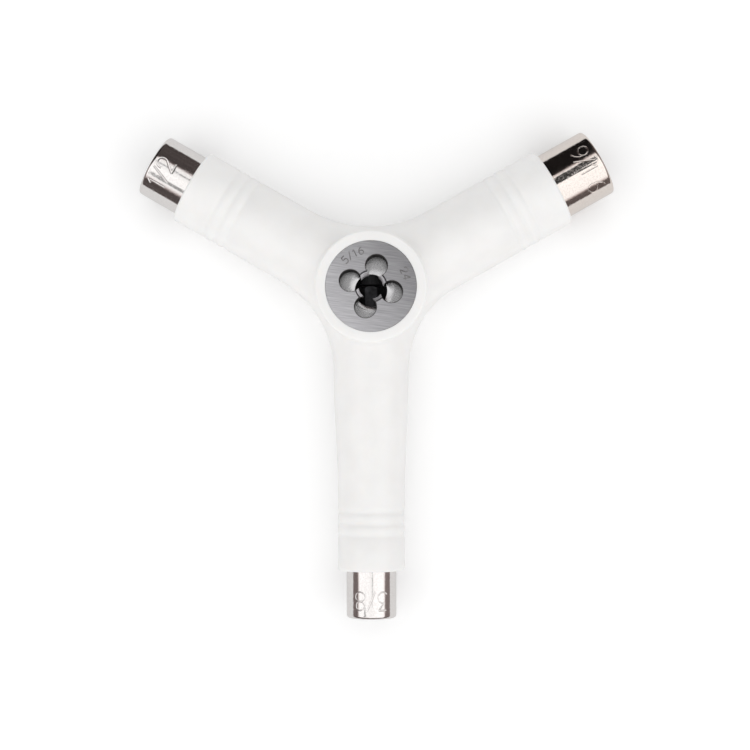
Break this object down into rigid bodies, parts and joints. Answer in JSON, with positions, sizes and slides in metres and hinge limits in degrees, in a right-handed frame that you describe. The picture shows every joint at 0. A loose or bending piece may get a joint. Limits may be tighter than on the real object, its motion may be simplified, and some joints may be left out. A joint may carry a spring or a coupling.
{
  "type": "skate tool",
  "caption": "Y-shaped skate tool: moulded body with hex sockets on its arms, a threading die at the hub and a hex driver bar stored in the long arm.",
  "frame": {"origin": "on the hub's axis, at the flat back that the tool rests on", "axes": "+Z out of the hub along the die's axis, away from the resting face; -Y along the long arm; +X to the 9/16 inch socket's side"},
  "size_m": [0.135, 0.138, 0.0266],
  "materials": {
    "white_nylon": "white moulded nylon, satin",
    "black_nylon": "black moulded nylon, satin",
    "bright_plate": "bright nickel and chrome plate on drawn steel",
    "warm_plate": "bright nickel plate, slightly warm",
    "ground_steel": "ground tool steel with fine grinding lines",
    "plain_steel": "plain rolled steel",
    "black_oxide": "black oxide on steel, slightly oily",
    "ferrite": "sintered black ferrite"
  },
  "bodies": {
    "handle": {"handle_body": "white_nylon", "rear_cap": "black_nylon", "die_seat_plate": "plain_steel", "threading_die": "ground_steel", "grub_screw_left": "black_oxide", "grub_screw_right": "black_oxide", "socket_half_inch": "bright_plate", "socket_nine_sixteenths": "warm_plate", "socket_three_eighths": "bright_plate", "driver_magnet": "ferrite"},
    "driver": {"driver_bar": "black_oxide"}
  },
  "joints": [
    {"name": "driver_slide", "type": "slide", "parent": "handle", "child": "driver", "axis": [0, -1, 0], "range_m": [0, 0.095]}
  ]
}
